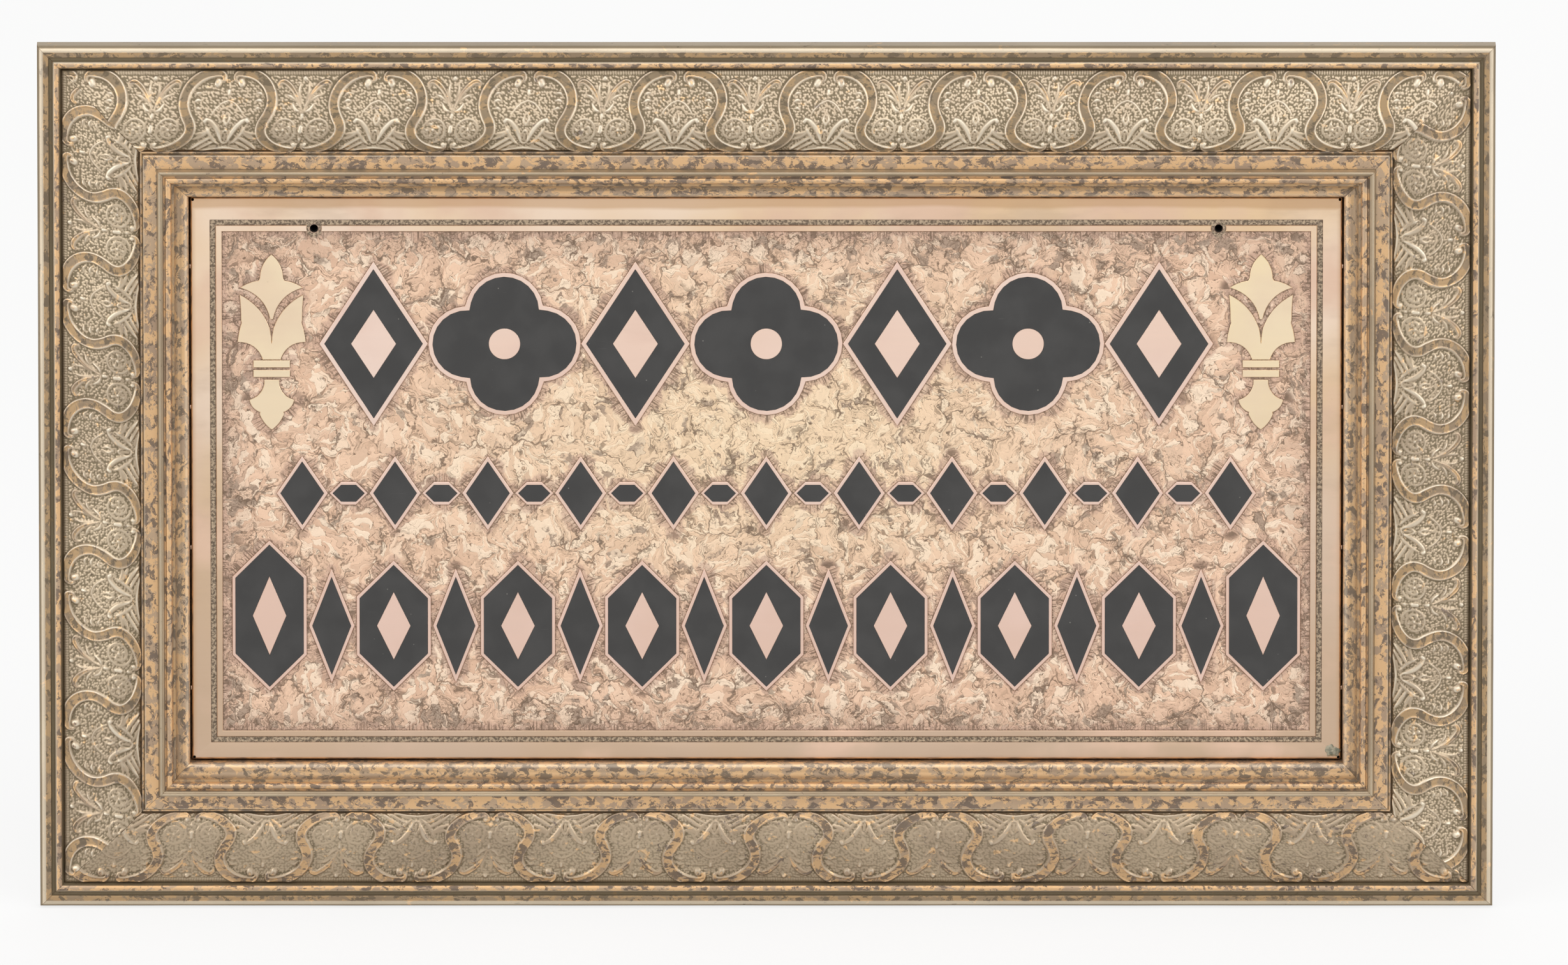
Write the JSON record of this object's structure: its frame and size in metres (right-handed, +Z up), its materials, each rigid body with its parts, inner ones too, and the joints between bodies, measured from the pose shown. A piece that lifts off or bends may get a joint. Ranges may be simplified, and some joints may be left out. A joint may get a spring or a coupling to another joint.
{
  "type": "framed bank notice sign",
  "caption": "Etched and enamelled copper notice plate in a wide mitred gilt moulding with pressed scroll ornament, hung on a wall by ring hangers.",
  "frame": {"origin": "on the frame's back, midway between the two fixing holes; the frame's back is the plane y = 0 and the wall is 6 mm behind it", "axes": "+X to the viewer's right along the sign's length, +Z up, the sign faces -Y"},
  "size_m": [0.7716, 0.036, 0.4668],
  "materials": {
    "gilt_wood": "gesso with antiqued metal leaf over wood",
    "gilt_composition": "pressed composition with antiqued metal leaf",
    "copper_sheet": "satin polished copper, etched ground",
    "dark_enamel": "baked satin enamel",
    "soft_solder": "dull tinned solder",
    "core_wood": "planed softwood",
    "backing_board": "aged brown board",
    "zinc_steel": "zinc-plated steel",
    "black_rubber": "matte moulded rubber"
  },
  "bodies": {
    "sign": {"top_rail": "gilt_wood", "bottom_rail": "gilt_wood", "left_rail": "gilt_wood", "right_rail": "gilt_wood", "top_ornament": "gilt_composition", "bottom_ornament": "gilt_composition", "left_ornament": "gilt_composition", "right_ornament": "gilt_composition", "sign_pan": "copper_sheet", "flange_tacks": "copper_sheet", "upper_enamel": "dark_enamel", "middle_enamel": "dark_enamel", "lower_enamel": "dark_enamel", "corner_solder": "soft_solder", "core_board": "core_wood", "backing_board": "backing_board", "corner_wedges": "zinc_steel", "core_screws": "zinc_steel", "button_screws": "zinc_steel", "hanger_screws": "zinc_steel", "left_strap": "zinc_steel", "right_strap": "zinc_steel", "wall_pads": "black_rubber"},
    "button_top_left": {"button_top_left": "zinc_steel"},
    "button_top_right": {"button_top_right": "zinc_steel"},
    "button_bottom_left": {"button_bottom_left": "zinc_steel"},
    "button_bottom_right": {"button_bottom_right": "zinc_steel"},
    "button_left": {"button_left": "zinc_steel"},
    "button_right": {"button_right": "zinc_steel"},
    "left_ring": {"left_ring": "zinc_steel"},
    "right_ring": {"right_ring": "zinc_steel"}
  },
  "joints": [
    {"name": "button_top_left_turn", "type": "hinge", "parent": "sign", "child": "button_top_left", "pos_m": [-0.15, 0.001, 0.0339], "axis": [0, 1, 0], "continuous": true},
    {"name": "button_top_right_turn", "type": "hinge", "parent": "sign", "child": "button_top_right", "pos_m": [0.15, 0.001, 0.0339], "axis": [0, 1, 0], "continuous": true},
    {"name": "button_bottom_left_turn", "type": "hinge", "parent": "sign", "child": "button_bottom_left", "pos_m": [-0.15, 0.001, -0.3049], "axis": [0, 1, 0], "continuous": true},
    {"name": "button_bottom_right_turn", "type": "hinge", "parent": "sign", "child": "button_bottom_right", "pos_m": [0.15, 0.001, -0.3049], "axis": [0, 1, 0], "continuous": true},
    {"name": "button_left_turn", "type": "hinge", "parent": "sign", "child": "button_left", "pos_m": [-0.3218, 0.001, -0.1355], "axis": [0, 1, 0], "continuous": true},
    {"name": "button_right_turn", "type": "hinge", "parent": "sign", "child": "button_right", "pos_m": [0.3218, 0.001, -0.1355], "axis": [0, 1, 0], "continuous": true},
    {"name": "left_ring_swing", "type": "hinge", "parent": "sign", "child": "left_ring", "pos_m": [-0.3458, 0.003, -0.0171], "axis": [1, 0, 0], "range_deg": [0, 180]},
    {"name": "right_ring_swing", "type": "hinge", "parent": "sign", "child": "right_ring", "pos_m": [0.3458, 0.003, -0.0171], "axis": [1, 0, 0], "range_deg": [0, 180]}
  ]
}
